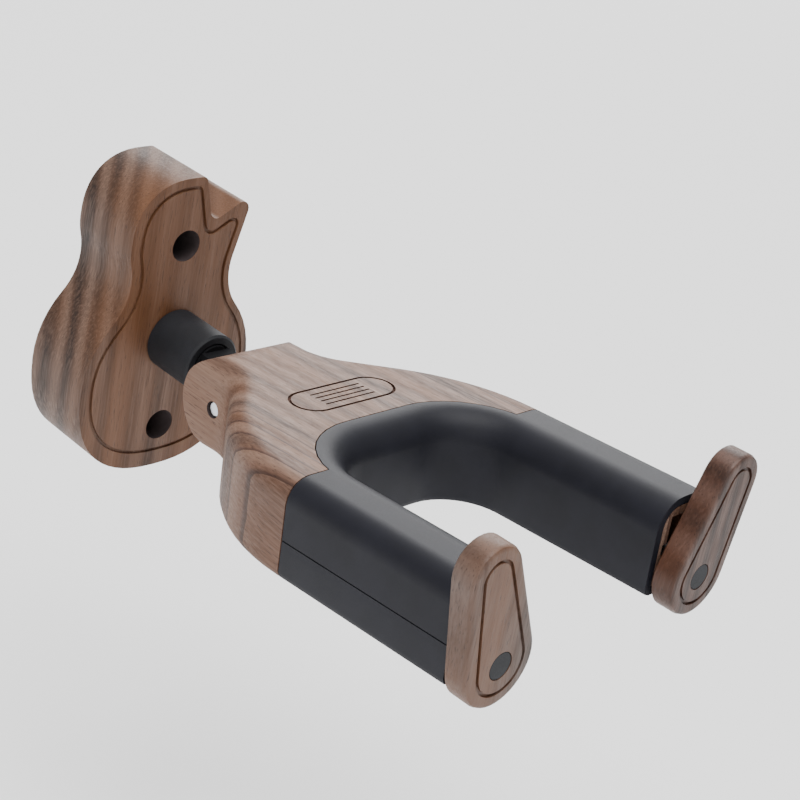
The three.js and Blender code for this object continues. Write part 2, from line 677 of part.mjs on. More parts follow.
function forkBody(block) {
  let s = cut(block, sleeveZone(-SEAM / 2));
  const half = SLOT_W / 2;
  const slot = toSolid(box(-half, half, -SLOT_FRONT, REACH, SLOT_BOTTOM, SLOT_TOP));
  const cavity = toSolid(prism(mirrored(CAVITY_HALF), FORK_BOTTOM - OVER, CAVITY_TOP));
  const coverLoop = inset(mirrored(COVER_HALF), -GAP);
  const cover = toSolid(prism(coverLoop, FORK_BOTTOM - OVER, FORK_BOTTOM + COVER_T + GAP));
  const pin = toSolid(bar('x', PIN_R + GAP, -REACH, REACH, 0, 0));
  const seat = toSolid(bar('z', POCKET_R, 0, SPRING_HEAD, 0, -SPRING_FORWARD - POCKET_SHIFT));
  s = cut(s, slot, cavity, cover, pin, seat, armPocket(1), armPocket(-1));
  for (const [x, f] of COVER_SCREWS) {
    s = cut(s, toSolid(bar('z', COVER_BORE_R, FORK_BOTTOM, COVER_BORE_TOP, x, -f, 12)));
  }
  return onFork(toGeometry(s));
}

function forkSleeve(block) {
  return onFork(toGeometry(block.intersect(sleeveZone(SEAM / 2))));
}

function mechanismCover() {
  let s = toSolid(prism(mirrored(COVER_HALF), FORK_BOTTOM, FORK_BOTTOM + COVER_T));
  for (const [x, f] of COVER_SCREWS) {
    const top = FORK_BOTTOM + 2 * COVER_T;
    const hole = toSolid(bar('z', COVER_BORE_R, FORK_BOTTOM - OVER, top, x, -f, 16));
    const sink = FORK_BOTTOM + COVER_RECESS_DEPTH;
    const head = toSolid(bar('z', COVER_RECESS_R, FORK_BOTTOM - OVER, sink, x, -f, 20));
    s = cut(s, hole, head);
  }
  return onFork(toGeometry(s));
}

function coverScrew([x, f]) {
  const start = FORK_BOTTOM + 2 * COVER_HEAD_LOW;
  const shank = toSolid(bar('z', COVER_SHANK_R, start, COVER_SHANK_TOP, x, -f, 12));
  const low = FORK_BOTTOM + COVER_HEAD_LOW;
  const head = toSolid(bar('z', COVER_HEAD_R, low, FORK_BOTTOM + COVER_HEAD_HIGH, x, -f, 20));
  return onFork(toGeometry(join(shank, head)));
}

function tiltPin() {
  const half = BARREL_W / 2 - PIN_INSET;
  return onFork(bar('x', PIN_R, -half, half, 0, 0));
}

function pinWasher(side) {
  const from = side * (TONGUE_W / 2 + GAP);
  const to = side * (SLOT_W / 2 - GAP);
  return onFork(ring('x', PIN_WASHER_R, PIN_R + GAP, Math.min(from, to), Math.max(from, to), 0, 0, 24));
}

// ---------------------------------------------------------------- gates

// tapered slab with round ends, drawn [x, up] about the pivot with the free end up
function gateOutline(d) {
  const r1 = GATE_R1 - d;
  const r2 = GATE_R2 - d;
  const a = Math.asin((GATE_R1 - GATE_R2) / GATE_LENGTH) / RAD;
  const low = arc(0, 0, r1, 180 - a, 360 + a, 22);
  const high = arc(0, GATE_LENGTH, r2, a, 180 - a, 15);
  return low.concat(high);
}

// drawn about the gate pivot with the free end up, then leaned and carried to its rod
function onGate(side, geometry) {
  geometry.rotateX(Math.PI / 2);
  geometry.rotateY(side * GATE_LEAN * RAD);
  return onRods(geometry.translate(side * ROD_X, 0, ROD_DROP));
}

function driveAt(side) {
  const lean = side * GATE_LEAN * RAD;
  const dx = -side * DRIVE_R * Math.cos(DRIVE_DEG * RAD);
  const dz = DRIVE_R * Math.sin(DRIVE_DEG * RAD);
  const x = dx * Math.cos(lean) - dz * Math.sin(lean);
  const y = dx * Math.sin(lean) + dz * Math.cos(lean);
  return [x, y];
}

function gate(side) {
  const levels = [
    [GATE_BACK_EDGE, GATE_BACK], [0, GATE_BACK + GATE_BACK_EDGE], [0, GATE_FRONT - GATE_BEVEL],
    [GATE_CROWN, GATE_FRONT - GATE_CROWN], [GATE_BEVEL, GATE_FRONT],
  ];
  const past = GATE_FRONT + OVER;
  const g = loft(levels.map(([d]) => gateOutline(d)), levels.map(([, z]) => z));
  const ringOut = toSolid(prism(gateOutline(GATE_GROOVE_OUT), GATE_FRONT - GROOVE_DEPTH, past));
  const ringIn = toSolid(prism(gateOutline(GATE_GROOVE_IN), GATE_FRONT - 2 * OVER, past + OVER));
  const bore = toSolid(bar('z', ROD_R + GAP, GATE_BACK - OVER, GATE_FRONT - BORE_END, 0, 0, 24));
  const recess = toSolid(bar('z', PLUG_R + PLUG_GAP, GATE_BACK + PLUG_FLOOR, past, 0, 0, 32));
  const [dx, dy] = driveAt(side);
  const driveR = DRIVE_PIN_R + PIN_BORE_GAP;
  const driveEnd = GATE_BACK + DRIVE_DEPTH;
  const drive = toSolid(bar('z', driveR, GATE_BACK - OVER, driveEnd, dx, dy, 16));
  const s = cut(toSolid(g), cut(ringOut, ringIn), bore, recess, drive);
  return onGate(side, toGeometry(s));
}

function gatePlug(side) {
  return onGate(side, bar('z', PLUG_R, GATE_FRONT - PLUG_T, GATE_FRONT - PLUG_SINK, 0, 0, 32));
}

function gateScrew(side) {
  const tip = ROD_END - GATE_SCREW_DEPTH + TIP_GAP;
  const seat = GATE_BACK + PLUG_FLOOR + GAP;
  const shank = toSolid(bar('z', GATE_SCREW_R, tip, seat + GATE_HEAD_T / 2, 0, 0, 12));
  const head = toSolid(bar('z', GATE_HEAD_R, seat, seat + GATE_HEAD_T, 0, 0, 24));
  return onGate(side, toGeometry(join(shank, head)));
}

function drivePin(side) {
  const [dx, dy] = driveAt(side);
  return onGate(side, bar('z', DRIVE_PIN_R, DRIVE_PIN_BACK, GATE_BACK + DRIVE_DEPTH - GAP, dx, dy, 16));
}

function gateSpring(side) {
  const g = coil(GATE_COIL_R, GATE_COIL_WIRE, GATE_COIL_PITCH, GATE_COIL_TURNS, GATE_COIL_BACK);
  return onGate(side, g);
}

// ---------------------------------------------------------------- assembly

const WALNUT = { color: 0x6b4a3a, roughness: 0.55, metalness: 0 };
const BLACK = { color: 0x1d1e22, roughness: 0.75, metalness: 0 };
const RUBBER = { color: 0x2c2d31, roughness: 0.85, metalness: 0 };
const STEEL = { color: 0xb9bcc0, roughness: 0.35, metalness: 1 };
const BRASSY = { color: 0xb08a4a, roughness: 0.4, metalness: 1 };
const GREY = { color: 0x4b4f54, roughness: 0.7, metalness: 0 };

const assembly = new THREE.Group();
assembly.name = 'guitar_wall_hanger';

function add(name, geometry, look) {
  const mesh = new THREE.Mesh(geometry, new THREE.MeshStandardMaterial(look));
  mesh.name = name;
  assembly.add(mesh);
}

add('wall_base', wallBase(), WALNUT);
add('friction_washer', frictionWasher(), BLACK);
add('rear_washer', rearWasher(), STEEL);
add('stud_nut', studNut(), STEEL);
add('swivel_stud', swivelStud(), STEEL);
add('post_cover', postCover(), BLACK);
add('tilt_tongue', tiltTongue(), BLACK);
add('rod_spreader', spreader(), STEEL);
add('return_spring', returnSpring(), STEEL);
add('tilt_pin', tiltPin(), STEEL);

const block = forkBlock();
add('fork_body', forkBody(block), WALNUT);
add('fork_sleeve', forkSleeve(block), RUBBER);
add('mechanism_cover', mechanismCover(), BLACK);
COVER_SCREWS.forEach((at, i) => add(`cover_screw_${i + 1}`, coverScrew(at), STEEL));

for (const [word, side] of [['left', -1], ['right', 1]]) {
  add(`${word}_spreader_screw`, spreaderScrew(side), STEEL);
  add(`${word}_pin_washer`, pinWasher(side), BLACK);
  add(`${word}_gate_rod`, gateRod(side), STEEL);
  add(`${word}_gate`, gate(side), WALNUT);
  add(`${word}_gate_plug`, gatePlug(side), GREY);
  add(`${word}_gate_screw`, gateScrew(side), STEEL);
  add(`${word}_drive_pin`, drivePin(side), STEEL);
  add(`${word}_gate_spring`, gateSpring(side), BRASSY);
}

export default assembly;
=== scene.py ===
"""Wall guitar hanger: walnut base and tilting fork, black post, rubber sleeve and two gates.
Metres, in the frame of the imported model: +Z up the wall, +Y into the wall, +X to the right."""
import json
import math

import bmesh
import bpy
from mathutils import Matrix, Vector

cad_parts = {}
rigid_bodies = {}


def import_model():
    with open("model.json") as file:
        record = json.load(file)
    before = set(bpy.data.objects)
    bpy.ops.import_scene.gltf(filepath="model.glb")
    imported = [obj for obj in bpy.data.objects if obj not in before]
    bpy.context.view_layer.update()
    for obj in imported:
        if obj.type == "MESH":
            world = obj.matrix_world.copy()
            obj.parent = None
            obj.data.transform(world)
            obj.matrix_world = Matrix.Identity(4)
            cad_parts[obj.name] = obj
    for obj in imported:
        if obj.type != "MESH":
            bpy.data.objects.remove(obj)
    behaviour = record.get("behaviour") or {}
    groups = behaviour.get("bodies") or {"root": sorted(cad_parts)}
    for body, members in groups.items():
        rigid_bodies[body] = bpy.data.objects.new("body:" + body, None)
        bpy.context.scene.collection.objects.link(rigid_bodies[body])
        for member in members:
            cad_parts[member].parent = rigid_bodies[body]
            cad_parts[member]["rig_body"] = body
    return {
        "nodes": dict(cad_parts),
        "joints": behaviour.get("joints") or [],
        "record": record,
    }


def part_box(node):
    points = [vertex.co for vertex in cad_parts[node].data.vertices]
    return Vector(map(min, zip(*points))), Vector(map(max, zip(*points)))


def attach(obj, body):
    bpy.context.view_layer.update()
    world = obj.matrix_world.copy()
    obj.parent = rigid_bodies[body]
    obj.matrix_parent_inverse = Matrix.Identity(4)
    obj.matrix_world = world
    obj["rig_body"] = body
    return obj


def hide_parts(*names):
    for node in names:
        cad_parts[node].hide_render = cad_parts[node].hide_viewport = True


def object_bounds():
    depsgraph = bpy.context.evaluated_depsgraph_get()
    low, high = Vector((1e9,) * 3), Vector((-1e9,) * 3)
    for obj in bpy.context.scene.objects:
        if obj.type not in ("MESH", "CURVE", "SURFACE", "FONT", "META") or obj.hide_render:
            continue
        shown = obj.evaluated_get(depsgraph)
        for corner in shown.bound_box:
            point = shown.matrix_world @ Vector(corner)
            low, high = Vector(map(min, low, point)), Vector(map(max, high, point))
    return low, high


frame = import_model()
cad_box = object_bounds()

MM = 0.001
NODES = frame["nodes"]
JOINTS = {joint["name"]: joint for joint in frame["joints"]}
PIN = Vector(JOINTS["fork_tilt"]["pos_m"])
TILT = math.radians(JOINTS["fork_tilt"]["range_deg"][1])
FORK = Matrix.Translation(PIN) @ Matrix.Rotation(-TILT, 4, "X")


# ---------------------------------------------------------------- camera, light and floor

CAMERA_AT = Vector((-0.2761, -0.3440, 0.2183))
CAMERA_AZIMUTH = math.radians(-49.8)
CAMERA_ELEVATION = math.radians(26.12)
CAMERA_ROLL = math.radians(12.7)
CAMERA_LENS = 74.27
SENSOR_WIDTH = 36
NEAREST_SEEN = 0.01

# name, place from the object's middle, size and power of each square light
LIGHTS = [
    ("key", (-0.3, -0.3, 2.4), 2.2, 105),
    ("glare", (2.2, 1.9, 1.6), 2.2, 95),
    ("fill", (-2.2, -1.4, 0.5), 2.0, 26),
]
WORLD_LIGHT = 0.55
FLOOR_BELOW = 0.11              # floor under the object's lowest point
FLOOR_HALF = 6
FLOOR_SHADE = 0.92


def make_camera():
    data = bpy.data.cameras.new("camera")
    data.lens = CAMERA_LENS
    data.sensor_width = SENSOR_WIDTH
    data.clip_start = NEAREST_SEEN
    camera = bpy.data.objects.new("camera", data)
    flat = math.cos(CAMERA_ELEVATION)
    back = Vector((math.sin(CAMERA_AZIMUTH) * flat, -math.cos(CAMERA_AZIMUTH) * flat,
                   math.sin(CAMERA_ELEVATION)))
    right = (-back).cross(Vector((0, 0, 1))).normalized()
    up = right.cross(-back)
    side = right * math.cos(CAMERA_ROLL) + up * math.sin(CAMERA_ROLL)
    top = up * math.cos(CAMERA_ROLL) - right * math.sin(CAMERA_ROLL)
    turned = Matrix((side, top, back)).transposed().to_4x4()
    camera.matrix_world = Matrix.Translation(CAMERA_AT) @ turned
    bpy.context.scene.collection.objects.link(camera)
    bpy.context.scene.camera = camera


def area_light(name, at, target, size, power):
    data = bpy.data.lights.new(name, "AREA")
    data.size = size
    data.energy = power
    light = bpy.data.objects.new(name, data)
    light.location = at
    light.rotation_euler = (target - at).to_track_quat("-Z", "Y").to_euler()
    bpy.context.scene.collection.objects.link(light)


def make_lights(middle):
    for name, offset, size, power in LIGHTS:
        area_light(name, middle + Vector(offset), middle, size, power)
    world = bpy.data.worlds.new("studio")
    world.use_nodes = True
    background = world.node_tree.nodes["Background"]
    background.inputs["Color"].default_value = (1, 1, 1, 1)
    background.inputs["Strength"].default_value = WORLD_LIGHT
    bpy.context.scene.world = world


def make_floor(lowest):
    mesh = bpy.data.meshes.new("floor")
    half = FLOOR_HALF
    z = lowest - FLOOR_BELOW
    corners = [(-half, -half, z), (half, -half, z), (half, half, z), (-half, half, z)]
    mesh.from_pydata(corners, [], [(0, 1, 2, 3)])
    floor = bpy.data.objects.new("floor", mesh)
    bpy.context.scene.collection.objects.link(floor)
    material, _, _, shader = tree_of("floor_white")
    shader.inputs["Base Color"].default_value = (*grey(FLOOR_SHADE), 1)
    shader.inputs["Roughness"].default_value = 1
    shader.inputs["Specular IOR Level"].default_value = 0
    mesh.materials.append(material)


# ---------------------------------------------------------------- shader nodes

UNTURNED = (0, 0, 0)
UNSTRETCHED = (1, 1, 1)
MIX_FACTOR, MIX_A, MIX_B = 0, 6, 7      # a Mix node's colour inputs, by their places
MIX_RESULT = 2                          # and its colour output


def grey(value):
    return (value,) * 3


def tree_of(name):
    material = bpy.data.materials.new(name)
    material.use_nodes = True
    nodes = material.node_tree.nodes
    return material, nodes, material.node_tree.links, nodes["Principled BSDF"]


def node(nodes, kind, **settings):
    """A new node. A setting goes to the input of that name, or else to the property."""
    made = nodes.new(kind)
    for key, value in settings.items():
        if key in made.inputs:
            made.inputs[key].default_value = value
        else:
            setattr(made, key, value)
    return made


def ramp(nodes, links, source, stops):
    """Colour ramp over the source, with stops of (place, colour)."""
    made = nodes.new("ShaderNodeValToRGB")
    elements = made.color_ramp.elements
    while len(elements) < len(stops):
        elements.new(0.5)
    for element, (at, colour) in zip(elements, stops):
        element.position = at
        element.color = (*colour, 1)
    links.new(source, made.inputs["Fac"])
    return made.outputs["Color"]


def mapped(nodes, links, turn, stretch):
    """Object coordinates in millimetres, turned so that the grain runs along Z, then stretched."""
    place = nodes.new("ShaderNodeTexCoord")
    first = node(nodes, "ShaderNodeMapping", Rotation=turn, Scale=grey(1 / MM))
    second = node(nodes, "ShaderNodeMapping", Scale=stretch)
    links.new(place.outputs["Object"], first.inputs["Vector"])
    links.new(first.outputs["Vector"], second.inputs["Vector"])
    return second.outputs["Vector"]


def mix(nodes, links, kind, factor, a, b):
    """Blend of b, a colour or an output, over the output a, by a number or an output."""
    made = nodes.new("ShaderNodeMix")
    made.data_type = "RGBA"
    made.blend_type = kind
    if isinstance(factor, float):
        made.inputs[MIX_FACTOR].default_value = factor
    else:
        links.new(factor, made.inputs[MIX_FACTOR])
    links.new(a, made.inputs[MIX_A])
    if isinstance(b, tuple):
        made.inputs[MIX_B].default_value = (*b, 1)
    else:
        links.new(b, made.inputs[MIX_B])
    return made.outputs[MIX_RESULT]


def bump(nodes, links, shader, height, strength, distance):
    made = node(nodes, "ShaderNodeBump", Strength=strength, Distance=distance)
    links.new(height, made.inputs["Height"])
    links.new(made.outputs["Normal"], shader.inputs["Normal"])


# ---------------------------------------------------------------- wood

# patterns over millimetres across the grain, drawn out along it by their stretch
FIGURE_STRETCH = (1, 0.3, 0.08)
FIGURE_DETAIL = 3.0
FIGURE_DETAIL_SCALE = 0.9
FIBRES = {"Scale": 1.6, "Detail": 6.0, "Roughness": 0.62}
FIBRE_STRETCH = (1, 1, 0.035)
CLOUDS = {"Scale": 0.06, "Detail": 2.0}
PORES = {"Scale": 3.4, "Detail": 2.0, "Roughness": 0.5}
PORE_STRETCH = (1, 1, 0.07)

FIGURE_STOPS = (0.05, 0.45, 0.95)       # where the dark, middle and light tones lie
FIBRE_STOPS = (0.32, 0.5, 0.68)
WARM_STOPS = [(0.42, grey(0)), (0.64, grey(0.7))]
PORE_STOPS = [(0.30, (0.42, 0.38, 0.36)), (0.40, grey(1))]
FIBRE_SHARE = 0.46                      # fibres against figure
PORE_SHARE = 0.9
ROUGH_STOPS = (0.3, 0.7)
ROUGHER = 0.12
SMOOTHER = 0.06
WOOD_SPECULAR = 0.32
PORE_BUMP = 0.35
PORE_DEPTH = 0.08 * MM

WAVE_PERIOD = 0.31416                   # of Blender's wave texture at scale 1
LINE_SPACING = 3.6                      # millimetres between the lines: growth lines with painted shade of small steps
LINE_WANDER = 0.5
LINES_FROM = 24                         # they show outwards from here, in millimetres
LINES_FADE = 3
# painted step shade: each line dark at its start and lightening across the step
LINE_SHADES = [
    (0.0, (0.36, 0.29, 0.27)),
    (0.08, (0.4, 0.33, 0.31)),
    (0.2, (0.84, 0.8, 0.78)),
    (0.8, grey(1)),
]


def shoulder_lines(nodes, links, body):
    """Dark lines along the fork's sides, upright planes that stand out on its shoulders: growth
    lines in the wood, with painted shade of small steps, dark at one edge and lightening across
    each.
    """
    flat = mapped(nodes, links, UNTURNED, UNSTRETCHED)
    scale = WAVE_PERIOD / LINE_SPACING
    lines = node(nodes, "ShaderNodeTexWave", Scale=scale, Distortion=LINE_WANDER)
    lines.wave_profile = "SAW"
    links.new(flat, lines.inputs["Vector"])
    shade = ramp(nodes, links, lines.outputs["Fac"], LINE_SHADES)
    apart = nodes.new("ShaderNodeSeparateXYZ")
    links.new(flat, apart.inputs["Vector"])
    across = node(nodes, "ShaderNodeMath", operation="ABSOLUTE")
    links.new(apart.outputs["X"], across.inputs[0])
    outer = nodes.new("ShaderNodeMapRange")
    outer.inputs["From Min"].default_value = LINES_FROM
    outer.inputs["From Max"].default_value = LINES_FROM + LINES_FADE
    links.new(across.outputs["Value"], outer.inputs["Value"])
    return mix(nodes, links, "MULTIPLY", outer.outputs["Result"], body, shade)


def walnut(name, turn, figure, tones, rough, wander=2.6, lined=False):
    """Walnut with its grain along the turned Z: figure bands, fibres and short dark pores."""
    material, nodes, links, shader = tree_of(name)
    *plain, warm = tones
    wide = mapped(nodes, links, turn, FIGURE_STRETCH)
    bands = node(nodes, "ShaderNodeTexWave", Scale=figure, Distortion=wander, Detail=FIGURE_DETAIL)
    bands.inputs["Detail Scale"].default_value = FIGURE_DETAIL_SCALE
    links.new(wide, bands.inputs["Vector"])
    fibres = node(nodes, "ShaderNodeTexNoise", **FIBRES)
    links.new(mapped(nodes, links, turn, FIBRE_STRETCH), fibres.inputs["Vector"])
    clouds = node(nodes, "ShaderNodeTexNoise", **CLOUDS)
    links.new(wide, clouds.inputs["Vector"])
    pores = node(nodes, "ShaderNodeTexNoise", **PORES)
    links.new(mapped(nodes, links, turn, PORE_STRETCH), pores.inputs["Vector"])

    figured = ramp(nodes, links, bands.outputs["Fac"], list(zip(FIGURE_STOPS, plain)))
    grained = ramp(nodes, links, fibres.outputs["Fac"], list(zip(FIBRE_STOPS, plain)))
    body = mix(nodes, links, "MIX", FIBRE_SHARE, figured, grained)
    warmth = ramp(nodes, links, clouds.outputs["Fac"], WARM_STOPS)
    body = mix(nodes, links, "MIX", warmth, body, warm)
    if lined:
        body = shoulder_lines(nodes, links, body)
    specks = ramp(nodes, links, pores.outputs["Fac"], PORE_STOPS)
    links.new(mix(nodes, links, "MULTIPLY", PORE_SHARE, body, specks), shader.inputs["Base Color"])

    shades = (grey(rough + ROUGHER), grey(rough - SMOOTHER))
    uneven = ramp(nodes, links, fibres.outputs["Fac"], list(zip(ROUGH_STOPS, shades)))
    links.new(uneven, shader.inputs["Roughness"])
    shader.inputs["Specular IOR Level"].default_value = WOOD_SPECULAR
    bump(nodes, links, shader, specks, PORE_BUMP, PORE_DEPTH)
    return material


# grain direction of each wood, as the turn that brings it upright
UPRIGHT = UNTURNED
FORWARD = (math.pi / 2, 0, 0)
TWISTED = (0, 0, math.radians(38))      # upright grain, its bands turned about it

# tones: dark, middle and light wood, then the warm patches
BROWN = (
    (0.013, 0.0066, 0.0042),
    (0.060, 0.030, 0.0185),
    (0.150, 0.090, 0.063),
    (0.125, 0.050, 0.019),
)
PALE = (
    (0.040, 0.020, 0.0135),
    (0.128, 0.072, 0.050),
    (0.205, 0.130, 0.096),
    (0.155, 0.062, 0.024),
)
GREYED = (
    (0.030, 0.0185, 0.0145),
    (0.078, 0.052, 0.042),
    (0.116, 0.083, 0.070),
    (0.13, 0.054, 0.023),
)
REDDER = (
    (0.016, 0.0065, 0.004),
    (0.044, 0.018, 0.0105),
    (0.098, 0.054, 0.041),
    (0.09, 0.030, 0.011),
)

WOODS = {
    "base_walnut": dict(turn=TWISTED, figure=0.048, tones=BROWN, rough=0.5, wander=4.2),
    "fork_walnut": dict(turn=FORWARD, figure=0.05, tones=PALE, rough=0.5, lined=True),
    "left_gate_walnut": dict(turn=UPRIGHT, figure=0.06, tones=GREYED, rough=0.42),
    "right_gate_walnut": dict(turn=UPRIGHT, figure=0.06, tones=REDDER, rough=0.42),
}


# ---------------------------------------------------------------- rubber, plastic and metal

BLOTCHES = {"Scale": 0.12, "Detail": 3.0}
BLOTCH_STOPS = (0.35, 0.65)
GRAIN_DETAIL = 5.0
GRAIN_ROUGHNESS = 0.6
GRAIN_BUMP = 0.25


def matte(name, colour, rough, speck=0.12, size=9.0, depth=0.03, spread=0.08, shine=0.5, metal=0.0):
    """Moulded, coated or drawn surface: faint blotches, fine grain and uneven roughness."""
    material, nodes, links, shader = tree_of(name)
    grain = node(nodes, "ShaderNodeTexNoise", Scale=size, Detail=GRAIN_DETAIL,
                 Roughness=GRAIN_ROUGHNESS)
    links.new(mapped(nodes, links, UNTURNED, UNSTRETCHED), grain.inputs["Vector"])
    blotches = node(nodes, "ShaderNodeTexNoise", **BLOTCHES)
    links.new(mapped(nodes, links, UNTURNED, UNSTRETCHED), blotches.inputs["Vector"])

    tones = [tuple(c * change for c in colour) for change in (1 - speck, 1 + speck)]
    toned = ramp(nodes, links, blotches.outputs["Fac"], list(zip(BLOTCH_STOPS, tones)))
    links.new(toned, shader.inputs["Base Color"])
    shades = (grey(rough - spread), grey(rough + spread))
    uneven = ramp(nodes, links, grain.outputs["Fac"], list(zip(ROUGH_STOPS, shades)))
    links.new(uneven, shader.inputs["Roughness"])
    shader.inputs["Metallic"].default_value = metal
    shader.inputs["Specular IOR Level"].default_value = shine
    bump(nodes, links, shader, grain.outputs["Fac"], GRAIN_BUMP, depth * MM)
    return material


MATTES = {
    "burnt": dict(
        colour=(0.040, 0.018, 0.011), rough=0.85, speck=0.3, size=4.0, depth=0.05, shine=0.15),
    # painted shade: near-black colour for the insides of the screw holes and of the pin's hole
    "painted_hole_shade": dict(
        colour=(0.045, 0.034, 0.034), rough=0.9, speck=0.3, size=4.0, depth=0.05, shine=0.15),
    "black_coating": dict(
        colour=(0.008, 0.0085, 0.011), rough=0.6, speck=0.2, size=6.0, depth=0.05, shine=0.3),
    # painted shade: a darker copy of the post's black coating, for the tongue in the shade between
    # post and fork
    "shaded_post_black": dict(
        colour=(0.004, 0.004, 0.005), rough=0.8, speck=0.2, size=6.0, depth=0.05, shine=0.12),
    "nylon": dict(colour=grey(0.03), rough=0.6),
    "rubber": dict(
        colour=(0.0088, 0.0090, 0.0132), rough=0.5, size=7.0, depth=0.025, shine=0.19),
    "steel": dict(
        colour=(0.62, 0.63, 0.65), rough=0.3, speck=0.06, size=5.0, depth=0.01, spread=0.06,
        metal=1.0),
    "brass_wire": dict(
        colour=(0.6, 0.43, 0.2), rough=0.34, speck=0.1, size=5.0, depth=0.01, spread=0.06,
        metal=1.0),
    "grey_plug": dict(
        colour=(0.013, 0.014, 0.017), rough=0.6, speck=0.2, size=5.0, depth=0.05, shine=0.22),
}

LOOKS = {name: walnut(name, **facts) for name, facts in WOODS.items()}
LOOKS.update({name: matte(name, **facts) for name, facts in MATTES.items()})


# ---------------------------------------------------------------- mesh tools

SHARP = math.radians(34)        # sharper edges stay crisp in the shading
LEVEL = math.radians(0.4)       # triangles flatter than this to each other become one face
WELD = 0.002 * MM
EDGE_ANGLE = math.radians(50)   # sharper edges get broken


def object_of(name, vertices, faces):
    mesh = bpy.data.meshes.new(name)
    mesh.from_pydata(vertices, [], faces)
    mesh.validate()
    made = bpy.data.objects.new(name, mesh)
    bpy.context.scene.collection.objects.link(made)
    return made


def add_look(piece, look):
    """Gives the piece one more material and returns its slot."""
    piece.data.materials.append(LOOKS[look])
    return len(piece.data.materials) - 1


def applied(piece):
    """Applies the piece's modifiers."""
    graph = bpy.context.evaluated_depsgraph_get()
    mesh = bpy.data.meshes.new_from_object(piece.evaluated_get(graph))
    piece.modifiers.clear()
    piece.data = mesh
    return piece


def cut_by(piece, cutter):
    """Cuts the cutter's solids out of the piece; cut faces take the cutter's material."""
    change = piece.modifiers.new("cut", "BOOLEAN")
    change.operation = "DIFFERENCE"
    change.solver = "EXACT"
    change.material_mode = "TRANSFER"
    change.object = cutter
    applied(piece)
    bpy.data.objects.remove(cutter)


def smoothed(piece):
    """Soft shading over rounded stretches, crisp edges elsewhere."""
    piece.data.shade_smooth()
    piece.data.set_sharp_from_angle(angle=SHARP)
    change = piece.modifiers.new("normals", "WEIGHTED_NORMAL")
    change.keep_sharp = True
    return applied(piece)


def welded(node_name, piece_name):
    """A clean copy of a CAD node's shape, its flat faces made whole again."""
    source = NODES[node_name].data
    vertices = [v.co.copy() for v in source.vertices]
    faces = [tuple(p.vertices) for p in source.polygons]
    piece = object_of(piece_name, vertices, faces)
    shape = bmesh.new()
    shape.from_mesh(piece.data)
    bmesh.ops.remove_doubles(shape, verts=shape.verts, dist=WELD)
    bmesh.ops.dissolve_limit(shape, angle_limit=LEVEL, verts=shape.verts, edges=shape.edges)
    bmesh.ops.recalc_face_normals(shape, faces=shape.faces)
    shape.to_mesh(piece.data)
    shape.free()
    return piece


def break_edges(piece, width):
    """Gives the sharp edges a small round."""
    change = piece.modifiers.new("edges", "BEVEL")
    change.width = width * MM
    change.segments = 2
    change.limit_method = "ANGLE"
    change.angle_limit = EDGE_ANGLE
    change.use_clamp_overlap = True
    applied(piece)


def stand_in(piece, node_name):
    """Lets the piece stand for a CAD node, on the same body."""
    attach(piece, NODES[node_name]["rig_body"])
    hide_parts(node_name)


# ---- cutters drawn in the fork's own frame: x across, f forward of the pin, z above it

ACROSS, UP = 0, 2               # axes of that frame
OVER = 1                        # how far a cutter runs past the face it opens


def prism_cutter(name, loops, low, high, look):
    """One object of separate upright prisms over the given loops of (x, f)."""
    vertices = []
    faces = []
    for loop in loops:
        start = len(vertices)
        count = len(loop)
        vertices += [FORK @ Vector((x * MM, -f * MM, low * MM)) for x, f in loop]
        vertices += [FORK @ Vector((x * MM, -f * MM, high * MM)) for x, f in loop]
        faces.append([start + i for i in range(count)])
        faces.append([start + count + i for i in reversed(range(count))])
        for i in range(count):
            j = (i + 1) % count
            faces.append([start + i, start + count + i, start + count + j, start + j])
    cutter = object_of(name, vertices, faces)
    add_look(cutter, look)
    shape = bmesh.new()
    shape.from_mesh(cutter.data)
    bmesh.ops.recalc_face_normals(shape, faces=shape.faces)
    shape.to_mesh(cutter.data)
    shape.free()
    return cutter


def rounded_bar(cx, cf, half, radius, steps=10):
    """Outline of a bar along x with round ends, centred on (cx, cf)."""
    loop = []
    for side, start in ((1, -90), (-1, 90)):
        for i in range(steps + 1):
            a = math.radians(start + 180 * i / steps)
            loop.append((cx + side * half + radius * math.cos(a), cf + radius * math.sin(a)))
    return loop


def reach_of(node_name, axis):
    """How far a node reaches along an axis of the fork's frame, in millimetres from the pin."""
    back = FORK.inverted()
    return max((back @ vertex.co)[axis] / MM for vertex in NODES[node_name].data.vertices)


# ---------------------------------------------------------------- fork

FORK_TOP = reach_of("fork_body", UP)
ENGRAVING_DEPTH = 0.6           # the ornament's sizes are in millimetres
ORNAMENT_X = 0.6
ORNAMENT_F = 30
ORNAMENT_HALF = 10.4
ORNAMENT_R = 6.2
ORNAMENT_LINE = 0.8
STRINGS = (-3, -1, 1, 3)
STRING_HALF = 8.2
STRING_R = 0.28
STRING_STEPS = 4

PIN_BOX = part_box("tilt_pin")
PIN_HOLE_R = (PIN_BOX[1].z - PIN_BOX[0].z) / 2 + 0.8 * MM     # just past the hole's wall
PIN_HOLE_DEPTH = 2 * MM
WALL_LEAN = 0.5                 # a face of the hole's wall looks less than this along X


def engrave(piece):
    """Plain ornament on the fork's top: an oval line around four straight ones."""
    low = FORK_TOP - ENGRAVING_DEPTH
    high = FORK_TOP + OVER
    outer = rounded_bar(ORNAMENT_X, ORNAMENT_F, ORNAMENT_HALF, ORNAMENT_R)
    inner = rounded_bar(ORNAMENT_X, ORNAMENT_F, ORNAMENT_HALF, ORNAMENT_R - ORNAMENT_LINE)
    band = prism_cutter("band", [outer], low, high, "burnt")
    cut_by(band, prism_cutter("core", [inner], low - OVER, high + OVER, "burnt"))
    cut_by(piece, band)
    strings = [rounded_bar(ORNAMENT_X, ORNAMENT_F + place, STRING_HALF, STRING_R, STRING_STEPS)
               for place in STRINGS]
    cut_by(piece, prism_cutter("strings", strings, low, high, "burnt"))


